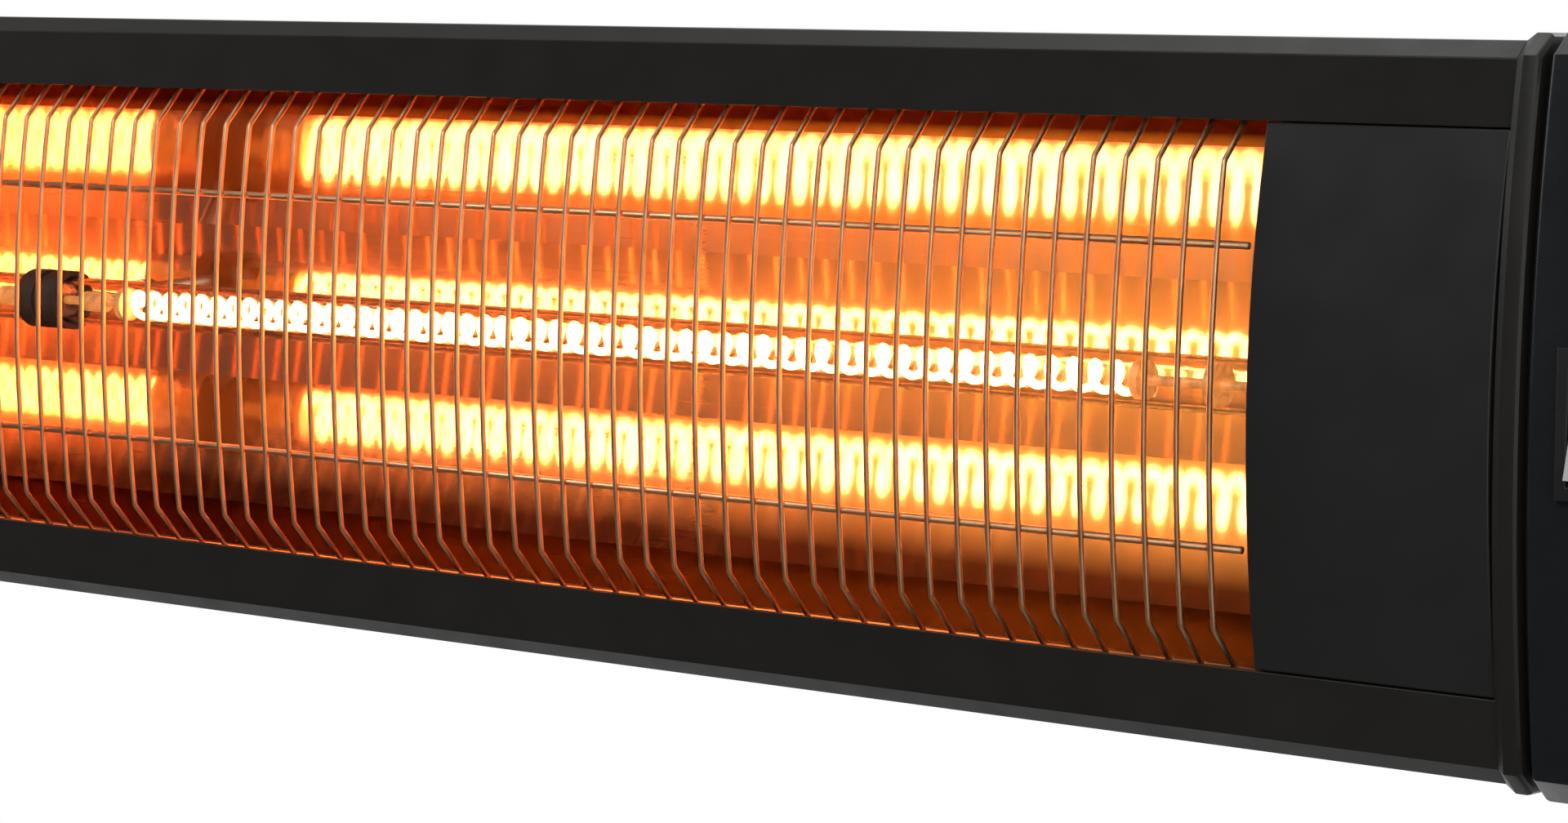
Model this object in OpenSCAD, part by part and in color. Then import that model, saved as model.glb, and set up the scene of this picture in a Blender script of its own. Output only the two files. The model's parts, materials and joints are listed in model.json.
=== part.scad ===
// Wall-mounted electric bar heater: two quartz lamps end to end in a polished trough, behind a wire guard.
// X runs along the heater, -Y is the front and +Z is up. The origin lies on the wall plane, in the middle
// of the four wall holes. Section profiles are drawn as [depth behind the lip plane, height].

/* [Housing] */
// Height of the extruded housing
housing_h = 144; // [120:1:180]
// Depth of the housing, from the lip plane to its back
housing_d = 72; // [66:1:90]
// Wall of the extrusion
housing_wall = 2; // [1.5:0.1:2.5]
// Height of the front lips, above and below the window
lip_h = 16.7; // [14:0.1:24]
// Front chamfer of the housing
chamfer = 3.4; // [1:0.1:5]
// Chamfer of the rear corners
rear_chamfer = 12; // [6:1:16]

/* [Window and guard] */
// Length of the window
window_w = 766; // [600:2:900]
// Spacing of the guard wires
wire_pitch = 8; // [7:0.5:12]
// Thickness of the guard wires
wire_d = 1.4; // [1.2:0.1:2]
// How far the guard wires bow forward between their kinks
wire_bow = 3.3; // [2:0.1:6]
// Height of the two cross rods above and below the middle
cross_rod_z = 30.5; // [20:0.5:40]

/* [Ends] */
// Length of each blank cover panel
panel_w = 56; // [40:0.5:80]
// How far the cover panels, collars and caps bulge forward
front_bulge = 5.2; // [3:0.1:9]
// Thickness of each end collar
collar_w = 6.2; // [5:0.1:9]
// Thickness of each end seal
seal_w = 2.3; // [1.5:0.1:4]
// Length of each end cap
cap_w = 33; // [31:1:50]
// How far the caps stand proud of the housing
cap_proud = 2.2; // [1:0.1:4]
// How far the collars stand proud of the housing
collar_proud = 1.6; // [0.4:0.1:3]
// Wall of the caps
cap_wall = 2.6; // [2:0.1:4]

/* [Lamps] */
// Outer diameter of the quartz tubes
tube_d = 12; // [10:0.5:13]
// Wall of the quartz tubes
tube_wall = 1; // [0.8:0.1:1.2]
// Depth of the lamps behind the lip plane
lamp_depth = 19.5; // [18:0.5:26]
// Gap between the filament coil and the inside of its tube
coil_clear = 1; // [0.8:0.1:2]
// Thickness of the filament strand
strand_d = 1.5; // [1:0.1:1.8]
// Number of curls in each filament
curls = 46; // [36:1:46]
// Cold length between the heater's middle and the filament
cold_end = 30.5; // [26:0.5:40]
// Cold length between the filament and the outer end of its tube
cold_outer = 53; // [48:0.5:70]

/* [Reflector] */
// Depth of the reflector behind the lip plane, at its deepest
reflector_d = 50; // [47:0.5:53]
// Thickness of the reflector sheet
sheet = 0.8; // [0.6:0.1:1]
// Radius of the hollow mirror facets
facet_r = 190; // [160:10:400]

/* [Wall brackets] */
// Distance from the wall to the tilt axis
pivot_out = 46; // [44:1:60]
// Distance from the tilt axis to the back of the housing
pivot_back = 24; // [24:0.5:30]
// Distance between the two rows of wall holes, along the heater
hole_span = 600; // [500:10:640]
// Distance between the two wall holes of one bracket
hole_rise = 76; // [60:2:84]
// Diameter of the wall holes
wall_hole_d = 7; // [5:0.5:9]
// Thickness of the bracket plates
plate_t = 4; // [3:0.5:5]
// Radius of the arc slot about the tilt axis
slot_r = 30; // [28:0.5:32]
// Largest tilt of the heater, in degrees
tilt_max = 45; // [30:1:45]

/* [Switch] */
// Height of the rocker
rocker_h = 22; // [18:0.5:24]
// Width of the rocker
rocker_w = 13.6; // [10:0.2:14]
// Rocker swing from one stop to the other, in degrees
rocker_swing = 14; // [10:1:16]

/* [Hidden] */
$fn = 48;

gap = 0.3;                       // running clearance between pieces that move or slide together
lip_y = -(pivot_out + pivot_back + housing_d);
half_h = housing_h / 2;
window_half_h = half_h - lip_h;
window_half_w = window_w / 2;

// Ends, from the window outwards
panel_seam = 1;
housing_end = window_half_w + panel_w + panel_seam;
collar_end = housing_end + collar_w;
seal_end = collar_end + seal_w;
cap_end = seal_end + cap_w;

// Slots in the back of the housing, for the slot bolts
slot_z = 30;
slot_mouth = 8.4;
slot_lip = 2.2;
slot_cavity = 14.4;
slot_cavity_d = 5.6;
slot_floor = housing_d - slot_lip - slot_cavity_d - housing_wall;

// Rib behind each lip, which holds the edge of the reflector
rib_front = 6.6;
rib_t = 2;
rib_end_z = window_half_h + 0.4;

// Screw ports in the corners of the housing
port_d = 8;
port_bore = 4.2;
port_sunk = 0.8;
port_inset = housing_wall + port_d / 2 - port_sunk;
port_front = [14, half_h - port_inset];
port_rear = [housing_d - port_inset, half_h - 19];
screw_shank_d = 4;

// Guard wires
wire_count = floor((window_w - 1.5 * wire_pitch) / wire_pitch / 2) * 2 + 1;
kink = [-4.2, window_half_h - 8.2];
rail_t = 3;
edge_rail = [rib_front - gap - rail_t / 2, window_half_h + 1.7];
cross_rod_d = 1.6;

// Lamps
holder_half = 7.3;
holder_d = 15;
tube_clear = 0.25;
tube_start = 2.6;
tube_end_wall = 2;
reflector_half = window_half_w - 2;
end_plate_t = 1.2;
outer_holder_x = reflector_half + end_plate_t + 1.8;
outer_holder_w = 16;
outer_holder_bore = 8;
tube_end = outer_holder_x + outer_holder_bore - 0.4;
lead_d = 2.2;
disc_t = 2;
coil_d = tube_d - 2 * tube_wall - 2 * coil_clear;
disc_d = coil_d + 0.4;
coil_start = cold_end;
coil_end = tube_end - cold_outer;
filament_len = coil_end - coil_start;
straight = strand_d;
foil_d = 5;
foil_w = 7;
support_d = tube_d - 2 * tube_wall - 0.4;
support_x = coil_end + 20.5;

// Inside the housing
shield_t = 0.8;
shield_face = slot_floor - shield_t;
wire_r = 1.5;
wire_depth = (reflector_d + sheet + shield_face) / 2;

// Bracket plates
hole_x = hole_span / 2;
wall_plate_in = 22;
ear_x = hole_x + wall_plate_in;
arm_x = ear_x + plate_t + gap + 0.1;
bolt_d = 8;
bolt_clear = 0.3;
foot_w = 40;
foot_half_h = 44;
lock_angle = 90 - tilt_max / 2;
lock_at = slot_r * [cos(lock_angle), sin(lock_angle)];
slot_bolt_x = arm_x + 22;
slot_bolt_d = 6;

// Terminal block
block_x = housing_end - 33;
block_w = 28;
block_z = 18;
block_d = 16;
block_front = shield_face - block_d;

// Switch
rocker_side = 0.4;
cap_front = -front_bulge - cap_proud;
bezel_t = 1.6;
bezel_front = cap_front - bezel_t;
rocker_axis = bezel_front + 3.9;
switch_x = seal_end + 10 + rocker_w / 2;
cavity_w = rocker_w + 2 * rocker_side;
cavity_h = rocker_h + 1.6;
switch_wall = 1.3;
switch_d = 24;
rocker_pin_d = 2;

// Cable gland
gland_at = [seal_end + 17, -35];
gland_bore = 7;
gland_thread_d = 16;

black = "#262627";
cap_black = "#1c1d20";
steel = "#b9bbbd";
mirror_metal = "#e8c79a";
glow = "#fff0b0";

function flip(p) = [for (q = p) [q[0], -q[1]]];
function reverse(p) = [for (i = [len(p) - 1:-1:0]) p[i]];
function unit(v) = v / norm(v);
function normal2(a, b) = let (u = unit(b - a)) [-u[1], u[0]];
function arc_points(c, r, a0, a1, n) =
    [for (i = [0:n]) let (a = a0 + (a1 - a0) * i / n) c + r * [cos(a), sin(a)]];

// Points of a shallow arc that bulges towards -depth, from +half to -half
function bow_radius(half, sag) = (half * half + sag * sag) / (2 * sag);
function bow_points(half, sag, depth, n) =
    let (r = bow_radius(half, sag), a = asin(half / r))
    arc_points([depth + r - sag, 0], r, 180 - a, 180 + a, n);

// A line of points moved sideways by t, with mitred corners
function shifted(p, t) = [
    for (i = [0:len(p) - 1])
        let (
            n1 = i > 0 ? normal2(p[i - 1], p[i]) : normal2(p[0], p[1]),
            n2 = i < len(p) - 1 ? normal2(p[i], p[i + 1]) : n1
        )
        p[i] + t * (n1 + n2) / (1 + n1 * n2)
];
function sheet_outline(p, t) = concat(shifted(p, t / 2), reverse(shifted(p, -t / 2)));

// Convex outline of the collars, seals and caps, grown outwards by g
function end_outline(g) = concat(
    bow_points(half_h - chamfer + 0.4 * g, front_bulge, -g, 20),
    [
        [chamfer, -half_h - g], [housing_d - rear_chamfer, -half_h - g],
        [housing_d + g, -half_h + rear_chamfer], [housing_d + g, half_h - rear_chamfer],
        [housing_d - rear_chamfer, half_h + g], [chamfer, half_h + g]
    ]
);

// Tube meshes for the coils and wires, with frames carried along the path
function tangents(p) = [
    for (i = [0:len(p) - 1]) unit(p[min(i + 1, len(p) - 1)] - p[max(i - 1, 0)])
];
function square_to(u, t) = unit(u - (u * t) * t);
function frames(t, u0) = [
    for (i = 0, u = square_to(u0, t[0]); i < len(t); i = i + 1, u = i < len(t) ? square_to(u, t[i]) : u) u
];
function ring_points(p, t, u, r, n) = [
    for (i = [0:len(p) - 1], k = [0:n - 1])
        let (v = cross(t[i], u[i])) p[i] + r * (cos(360 * k / n) * u[i] + sin(360 * k / n) * v)
];
function tube_faces(m, n) = concat(
    [for (i = [0:m - 2], k = [0:n - 1]) [i * n + k, (i + 1) * n + k, i * n + (k + 1) % n]],
    [for (i = [0:m - 2], k = [0:n - 1]) [i * n + (k + 1) % n, (i + 1) * n + k, (i + 1) * n + (k + 1) % n]],
    [for (k = [1:n - 2]) [0, k, k + 1]],
    [for (k = [1:n - 2]) [(m - 1) * n, (m - 1) * n + k + 1, (m - 1) * n + k]]
);
module swept(p, u, r, n) {
    t = tangents(p);
    polyhedron(ring_points(p, t, u, r, n), tube_faces(len(p), n));
}

// A smooth line through the given points, which keeps its first and last stretches straight
function spline_point(a, b, c, d, s) =
    let (run = norm(c - b), lead_in = run * unit(c - a), lead_out = run * unit(d - b))
    (2 * s * s * s - 3 * s * s + 1) * b + (s * s * s - 2 * s * s + s) * lead_in
        + (3 * s * s - 2 * s * s * s) * c + (s * s * s - s * s) * lead_out;
function spline(p, k) = concat(
    [p[0]],
    [
        for (i = [1:len(p) - 3], j = [0:k - 1])
            spline_point(p[i - 1], p[i], p[i + 1], p[i + 2], j / k)
    ],
    [p[len(p) - 2], p[len(p) - 1]]
);
module wire(points, u0) {
    p = spline(points, 5);
    swept(p, frames(tangents(p), u0), wire_r, 8);
}

// Extrudes a [depth, height] profile along X, from x0
module bar_x(x0, length)
    translate([x0, lip_y, 0]) rotate([90, 0, 90]) linear_extrude(length) children();

// The same for profiles drawn as [y, z] from the wall
module wall_bar_x(x0, length)
    translate([x0, 0, 0]) rotate([90, 0, 90]) linear_extrude(length) children();

module rod_x(x0, x1, at, d) bar_x(x0, x1 - x0) translate(at) circle(d = d);

// A rod that points from the lip plane towards the wall, at x and z
module rod_y(x, z, d0, d1, d, sides = 48)
    translate([x, lip_y + d0, z]) rotate([-90, 0, 0]) cylinder(d = d, h = d1 - d0, $fn = sides);

module block_yz(x0, x1, d0, d1, z0, z1)
    translate([x0, lip_y + d0, z0]) cube([x1 - x0, d1 - d0, z1 - z0]);

module on_side(side) {
    if (side > 0) children();
    else mirror([1, 0, 0]) children();
}

// ---- Wall brackets and tilt arms ----

module pivot_hole(at, d)
    translate([0, -pivot_out + at[0], at[1]]) rotate([0, 90, 0])
        translate([0, 0, -1]) cylinder(d = d, h = 2 * hole_span);

ear_slot_w = bolt_d + 2 * bolt_clear;
ear_rim = slot_r + ear_slot_w / 2 + 5.7;

module wall_ear_outline() {
    centre = [-pivot_out, 0];
    polygon(concat(
        [[0, -48], [0, 48]],
        arc_points(centre, ear_rim, 60, 120, 12),
        arc_points(centre, 17, 165, 280, 14)
    ));
}

module arc_slot() {
    translate([0, -pivot_out, 0]) rotate([90, 0, 90]) {
        rotate([0, 0, lock_angle]) rotate_extrude(angle = tilt_max)
            translate([slot_r - ear_slot_w / 2, ear_x - 1]) square([ear_slot_w, plate_t + 2]);
        for (a = [lock_angle, lock_angle + tilt_max])
            rotate([0, 0, a]) translate([slot_r, 0, ear_x - 1]) cylinder(d = ear_slot_w, h = plate_t + 2);
    }
}

module wall_bracket(side) color(black) on_side(side)
    difference() {
        union() {
            translate([hole_x - wall_plate_in, -plate_t, -48])
                cube([2 * wall_plate_in + plate_t, plate_t, 96]);
            wall_bar_x(ear_x, plate_t) wall_ear_outline();
        }
        arc_slot();
        pivot_hole([0, 0], bolt_d + 2 * bolt_clear);
        for (z = [-1, 1])
            translate([hole_x, -plate_t - 1, z * hole_rise / 2]) rotate([-90, 0, 0])
                cylinder(d = wall_hole_d, h = plate_t + 2);
    }

module tilt_arm(side) color(black) on_side(side)
    difference() {
        union() {
            bar_x(arm_x, foot_w) polygon([
                [housing_d, -foot_half_h], [housing_d + plate_t, -foot_half_h],
                [housing_d + plate_t, foot_half_h], [housing_d, foot_half_h]
            ]);
            wall_bar_x(arm_x, plate_t) polygon(concat(
                [[-pivot_out - pivot_back, -34], [-pivot_out - pivot_back, 38]],
                arc_points([-pivot_out, 0] + lock_at, 10, 100, -10, 10),
                arc_points([-pivot_out, 0], 16, -25, -100, 8)
            ));
        }
        pivot_hole([0, 0], bolt_d + 0.2);
        pivot_hole(lock_at, bolt_d + 0.2);
        for (z = [-slot_z, slot_z])
            rod_y(slot_bolt_x, z, housing_d - 1, housing_d + plate_t + 1, slot_bolt_d + 0.6);
    }

head_t = 5.3;
washer_t = 1.6;
nut_t = 6.5;
bolt_head_d = 15;
bolt_tip = 11;

// Hexagon and round pieces on the tilt axis or on the lock bolt's place
module tilt_rod(at, x0, x1, d, sides = 48)
    translate([x0, -pivot_out + at[0], at[1]]) rotate([0, 90, 0]) cylinder(d = d, h = x1 - x0, $fn = sides);

module tilt_bolt(at)
    union() {
        tilt_rod(at, arm_x + plate_t, arm_x + plate_t + head_t, bolt_head_d, 6);
        tilt_rod(at, ear_x - bolt_tip, arm_x + plate_t + 1, bolt_d);
    }

module tilt_nut(at, x1)
    difference() {
        tilt_rod(at, x1 - nut_t, x1, bolt_head_d, 6);
        tilt_rod(at, x1 - nut_t - 1, x1 + 1, bolt_d);
    }

module pivot_bolts() color(steel) for (side = [-1, 1]) on_side(side) tilt_bolt([0, 0]);
module lock_bolts() color(steel) for (side = [-1, 1]) on_side(side) tilt_bolt(lock_at);
module pivot_nuts() color(steel) for (side = [-1, 1]) on_side(side) tilt_nut([0, 0], ear_x - gap);
module lock_nuts() color(steel)
    for (side = [-1, 1]) on_side(side) tilt_nut(lock_at, ear_x - gap - washer_t);
module lock_washers() color(steel)
    for (side = [-1, 1]) on_side(side)
        difference() {
            tilt_rod(lock_at, ear_x - gap - washer_t, ear_x - gap, 17);
            tilt_rod(lock_at, ear_x - gap - washer_t - 1, ear_x, bolt_d);
        }

slot_nut_t = 5;
slot_nut_d = 11.5;
slot_head = 13.6;
slot_head_t = 4.6;

module slot_bolts() color(steel)
    for (side = [-1, 1], z = [-slot_z, slot_z]) on_side(side)
        union() {
            block_yz(slot_bolt_x - slot_head / 2, slot_bolt_x + slot_head / 2,
                     housing_d - slot_lip - slot_head_t, housing_d - slot_lip,
                     z - slot_head / 2, z + slot_head / 2);
            rod_y(slot_bolt_x, z, housing_d - slot_lip - 1, housing_d + plate_t + slot_nut_t + 3, slot_bolt_d);
        }

module slot_nuts() color(steel)
    for (side = [-1, 1], z = [-slot_z, slot_z]) on_side(side)
        difference() {
            rod_y(slot_bolt_x, z, housing_d + plate_t, housing_d + plate_t + slot_nut_t, slot_nut_d, 6);
            rod_y(slot_bolt_x, z, housing_d + plate_t - 1, housing_d + plate_t + slot_nut_t + 1, slot_bolt_d);
        }

// ---- Housing ----

// Upper half of the outside, from the window's edge round to the back
housing_outside = [
    [0, window_half_h], [0, half_h - chamfer], [chamfer, half_h], [housing_d - rear_chamfer, half_h],
    [housing_d, half_h - rear_chamfer], [housing_d, slot_z + slot_mouth / 2],
    [housing_d - slot_lip, slot_z + slot_mouth / 2], [housing_d - slot_lip, slot_z + slot_cavity / 2],
    [slot_floor + housing_wall, slot_z + slot_cavity / 2], [slot_floor + housing_wall, slot_z - slot_cavity / 2],
    [housing_d - slot_lip, slot_z - slot_cavity / 2], [housing_d - slot_lip, slot_z - slot_mouth / 2],
    [housing_d, slot_z - slot_mouth / 2]
];
corner = housing_wall * tan(22.5);
// Upper half of the inside, from the window's edge round to the back
housing_inside = [
    [housing_wall, window_half_h], [housing_wall, half_h - chamfer - corner],
    [chamfer + corner, half_h - housing_wall], [rib_front, half_h - housing_wall],
    [rib_front, rib_end_z], [rib_front + rib_t, rib_end_z], [rib_front + rib_t, half_h - housing_wall],
    [housing_d - rear_chamfer - corner, half_h - housing_wall],
    [housing_d - housing_wall, half_h - rear_chamfer - corner],
    [housing_d - housing_wall, slot_z + slot_cavity / 2 + housing_wall],
    [slot_floor, slot_z + slot_cavity / 2 + housing_wall],
    [slot_floor, slot_z - slot_cavity / 2 - housing_wall],
    [housing_d - housing_wall, slot_z - slot_cavity / 2 - housing_wall]
];

module screw_places() for (p = [port_front, port_rear], z = [-1, 1]) translate([p[0], z * p[1]]) children();

module housing() color(black)
    difference() {
        union() {
            bar_x(-housing_end, 2 * housing_end) polygon(concat(
                housing_outside, reverse(flip(housing_outside)), flip(housing_inside), reverse(housing_inside)
            ));
            bar_x(-housing_end, 2 * housing_end) screw_places() circle(d = port_d);
        }
        bar_x(-housing_end - 1, 2 * housing_end + 2) screw_places() circle(d = port_bore);
        rod_y(earth_at[0], earth_at[1], slot_floor - 1, slot_floor + housing_wall + 1, earth_d);
    }

// ---- Reflector ----

ridge_half = 4;
facet_low = [reflector_d - 1.2, 19.5];
facet_high_z = 49;
facet_tilt = 29.2;
facet_span = (facet_high_z - facet_low[1]) / cos(facet_tilt);
facet_sweep = 2 * asin(facet_span / 2 / facet_r);
facet_start = 180 - facet_tilt + facet_sweep / 2;
facet_centre = facet_low - facet_r * [cos(facet_start - 180), sin(facet_start - 180)];
reflector_half_line = concat(
    [[reflector_d, ridge_half]],
    [
        for (i = [0:8])
            let (a = i / 8, along = facet_span * a, dip = facet_r * (cos(facet_sweep / 2)
                - cos(facet_sweep * (a - 0.5))))
            facet_low + along * [-sin(facet_tilt), cos(facet_tilt)]
                - dip * [cos(facet_tilt), sin(facet_tilt)]
    ],
    [[rib_front + rib_t + sheet / 2, window_half_h + 0.6], [rib_front + rib_t + sheet / 2, window_half_h + 9]]
);
reflector_line = concat(reverse(flip(reflector_half_line)), reflector_half_line);

module reflector() color(mirror_metal)
    difference() {
        bar_x(-reflector_half, 2 * reflector_half) polygon(sheet_outline(reflector_line, sheet));
        rod_y(0, 0, reflector_d - 2, reflector_d + 2, post_thread_d + 0.6);
    }

module reflector_end(side) color(mirror_metal) on_side(side)
    difference() {
        block_yz(reflector_half, reflector_half + end_plate_t, rib_front + rib_t + 0.4, reflector_d + 2,
                 -window_half_h - 1, window_half_h + 1);
        rod_x(reflector_half - 1, reflector_half + end_plate_t + 1, [lamp_depth, 0], tube_d + 1);
    }

module heat_shield() color("#8d8f90")
    difference() {
        block_yz(-housing_end + 4, housing_end - 4, shield_face, slot_floor, -50, 50);
        rod_y(earth_at[0], earth_at[1], shield_face - 1, slot_floor + 1, earth_d + 0.4);
    }

// ---- Wire guard ----

guard_r = bow_radius(kink[1], wire_bow);
guard_front = kink[0] - wire_bow;
guard_sweep = asin(kink[1] / guard_r);
function guard_depth(z) = guard_front + guard_r - sqrt(guard_r * guard_r - z * z);

leg_run = edge_rail - kink;
leg_angle = atan2(leg_run[1], leg_run[0]);
leg_overlap = 0.2;

module guard_leg()
    translate(kink) rotate([0, 0, leg_angle]) rotate([0, 90, 0]) translate([0, 0, -leg_overlap])
        cylinder(d = wire_d, h = norm(leg_run) + leg_overlap, $fn = 24);

module guard_wire() rotate([90, 0, 90]) {
    translate([guard_front + guard_r, 0, 0]) rotate([0, 0, 180 - guard_sweep])
        rotate_extrude(angle = 2 * guard_sweep) translate([guard_r, 0]) circle(d = wire_d, $fn = 24);
    guard_leg();
    mirror([0, 1, 0]) guard_leg();
}

module wire_guard() color("#c9a183") {
    cross_depth = guard_depth(cross_rod_z) + (wire_d + cross_rod_d) / 2 + 0.05;
    union() {
        for (i = [0:wire_count - 1])
            translate([(i - (wire_count - 1) / 2) * wire_pitch, lip_y, 0]) guard_wire();
        for (z = [-1, 1])
            block_yz(-reflector_half, reflector_half, edge_rail[0] - rail_t / 2, edge_rail[0] + rail_t / 2,
                     z * edge_rail[1] - rail_t / 2, z * edge_rail[1] + rail_t / 2);
    }
    cross_half = window_half_w - gap;
    for (z = [-1, 1]) rod_x(-cross_half, cross_half, [cross_depth, z * cross_rod_z], cross_rod_d);
}

// ---- Ends ----

panel_t = 2;
panel_leg = 5.8;
panel_half = window_half_h - gap - panel_t / 2;
panel_line = concat(
    [[panel_leg, panel_half]], bow_points(panel_half, front_bulge, panel_t / 2, 20), [[panel_leg, -panel_half]]
);

module cover_panel(side) color("#343434") on_side(side)
    union() {
        bar_x(window_half_w, panel_w) polygon(sheet_outline(panel_line, panel_t));
        bar_x(window_half_w, 1.5) polygon(shifted(panel_line, panel_t / 4));
    }

module wiring_window() translate([16, -46]) square([36, 92]);

// It flares up from the housing, and its far edge is rounded
collar_flare = 2.2;
collar_round = 1.5;
module end_collar(side) color(black) on_side(side)
    difference() {
        hull() {
            bar_x(housing_end, collar_w - collar_round) polygon(end_outline(0));
            bar_x(housing_end + collar_flare, collar_w - collar_flare - collar_round)
                polygon(end_outline(collar_proud));
            for (a = [30, 60, 90])
                bar_x(housing_end + collar_flare, collar_w - collar_flare - collar_round * (1 - sin(a)))
                    polygon(end_outline(collar_proud - collar_round * (1 - cos(a))));
        }
        bar_x(housing_end - 1, collar_w + 2) {
            wiring_window();
            screw_places() circle(d = screw_shank_d + 0.5);
        }
    }

module end_seal(side) color("#0e0e0e") on_side(side)
    difference() {
        bar_x(collar_end, seal_w) polygon(end_outline(-2));
        bar_x(collar_end - 1, seal_w + 2) {
            wiring_window();
            screw_places() circle(d = screw_shank_d + 0.5);
        }
    }

cap_round = 5;
cap_rim_round = 1.2;
cap_post_d = 11;
screw_head_d = 7.5;
screw_head_t = 3.2;
screw_floor = cap_end - 6;

module cap_shell()
    difference() {
        hull() {
            for (a = [45, 90])
                bar_x(seal_end + cap_rim_round * (1 - sin(a)), 1)
                    polygon(end_outline(cap_proud - cap_rim_round * (1 - cos(a))));
            bar_x(seal_end + cap_rim_round, cap_w - cap_round - cap_rim_round)
                polygon(end_outline(cap_proud));
            for (a = [22.5, 45, 67.5, 90])
                bar_x(cap_end - cap_round - 1, cap_round * sin(a) + 1)
                    polygon(end_outline(cap_proud - cap_round * (1 - cos(a))));
        }
        difference() {
            bar_x(seal_end - 1, cap_w - cap_wall + 1) polygon(end_outline(cap_proud - cap_wall));
            bar_x(seal_end - 2, cap_w) screw_places() circle(d = cap_post_d);
        }
        bar_x(seal_end - 1, cap_w + 2) screw_places() circle(d = screw_shank_d + 0.5);
        bar_x(screw_floor, cap_w) screw_places() circle(d = screw_head_d + 0.5);
    }

module end_cap_left() color(cap_black) on_side(-1) cap_shell();

module end_cap_right() color(cap_black)
    difference() {
        cap_shell();
        block_yz(switch_x - switch_cut_w / 2, switch_x + switch_cut_w / 2, cap_front - 2, 4,
                 -switch_cut_h / 2, switch_cut_h / 2);
        rod_y(gland_at[0], gland_at[1], housing_d - cap_wall - 1, housing_d + cap_proud + 1, gland_thread_d + 0.4);
    }

module end_cap_screws() color(steel)
    for (side = [-1, 1]) on_side(side)
        union() {
            bar_x(screw_floor, screw_head_t) screw_places() circle(d = screw_head_d);
            bar_x(housing_end - 12, screw_floor - housing_end + 13) screw_places() circle(d = screw_shank_d);
        }

// ---- Lamps ----

module quartz_tube(side) color([0.9, 0.92, 0.95, 0.35]) on_side(side)
    difference() {
        rod_x(tube_start, tube_end, [lamp_depth, 0], tube_d);
        rod_x(tube_start + tube_end_wall, tube_end - tube_end_wall, [lamp_depth, 0], tube_d - 2 * tube_wall);
    }

coil_r = (coil_d - strand_d) / 2;
rings = 8;
coil_pitch = filament_len / curls;
coil_steps = curls * rings;
// Where the strand goes at step i: along the coil, or straight on past its ends
function coil_at(i) =
    let (s = min(max(i, 0), coil_steps), a = 360 * s / rings, past = i - s)
    [
        coil_start + coil_pitch * s / rings + past * straight / 2,
        lip_y + lamp_depth + coil_r * cos(a), coil_r * sin(a)
    ];
function coil_out(i) =
    let (s = min(max(i, 0), coil_steps), a = 360 * s / rings) [0, cos(a), sin(a)];
coil_path = [for (i = [-2:coil_steps + 2]) coil_at(i)];
coil_frames = [for (i = [-2:coil_steps + 2]) coil_out(i)];
coil_gap = min([
    for (i = [0:coil_steps - rings], k = [rings / 2:rings + 2])
        if (i + k < len(coil_path)) norm(coil_path[i + k] - coil_path[i]) - strand_d
]);
echo(filament_gap_to_itself = coil_gap);

module filament(side) color(glow) on_side(side) swept(coil_path, coil_frames, strand_d / 2, 6);

module lamp_leads(side) color("#3a3634") on_side(side) {
    inner = tube_start + tube_end_wall;
    outer = tube_end - tube_end_wall;
    union() {
        rod_x(inner, coil_start - straight - disc_t + 0.5, [lamp_depth, 0], lead_d);
        rod_x(inner + 8, inner + 8 + foil_w, [lamp_depth, 0], foil_d);
        rod_x(coil_start - straight - disc_t, coil_start - straight, [lamp_depth, 0], disc_d);
    }
    union() {
        rod_x(coil_end + straight + disc_t - 0.5, outer, [lamp_depth, 0], lead_d);
        rod_x(coil_end + straight, coil_end + straight + disc_t, [lamp_depth, 0], disc_d);
        rod_x(support_x, support_x + disc_t, [lamp_depth, 0], support_d);
    }
}

post_d = 6;
post_thread_d = 4;
post_flange_d = 2 * ridge_half;
post_flange_t = 1.5;
post_end = reflector_d + sheet / 2 + 4;
holder_flat = lamp_depth + holder_d / 2 - 0.4;

module centre_lamp_holder() color("#3d302a")
    difference() {
        rod_x(-holder_half, holder_half, [lamp_depth, 0], holder_d);
        for (x = [-holder_half - 1, tube_start - gap])
            rod_x(x, x + holder_half + 1 - tube_start + gap, [lamp_depth, 0], tube_d + 2 * tube_clear);
        block_yz(-holder_half - 1, holder_half + 1, holder_flat, holder_flat + 5, -holder_d, holder_d);
        difference() {
            rod_x(-1.2, 1.2, [lamp_depth, 0], holder_d + 1);
            rod_x(-2, 2, [lamp_depth, 0], holder_d - 2);
            block_yz(-2, 2, lamp_depth, lamp_depth + holder_d, -post_d / 2, post_d / 2);
        }
    }

module centre_holder_post() color(steel)
    union() {
        rod_y(0, 0, holder_flat, reflector_d - sheet / 2, post_d);
        rod_y(0, 0, reflector_d - sheet / 2 - post_flange_t, reflector_d - sheet / 2, post_flange_d);
        rod_y(0, 0, reflector_d - sheet, post_end, post_thread_d);
    }

module centre_holder_nut() color(steel)
    difference() {
        rod_y(0, 0, reflector_d + sheet / 2, reflector_d + sheet / 2 + 3, 7, 6);
        rod_y(0, 0, reflector_d, reflector_d + 5, post_thread_d);
    }

module outer_lamp_holder(side) color("#ddd6c8") on_side(side)
    difference() {
        block_yz(outer_holder_x, outer_holder_x + outer_holder_w, lamp_depth - 10, lamp_depth + 10, -10, 10);
        rod_x(outer_holder_x - 1, outer_holder_x + outer_holder_bore, [lamp_depth, 0], tube_d + 2 * tube_clear);
        rod_x(outer_holder_x, outer_holder_x + outer_holder_w + 1, [lamp_depth, 0], 2 * wire_r + 0.4);
    }

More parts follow.
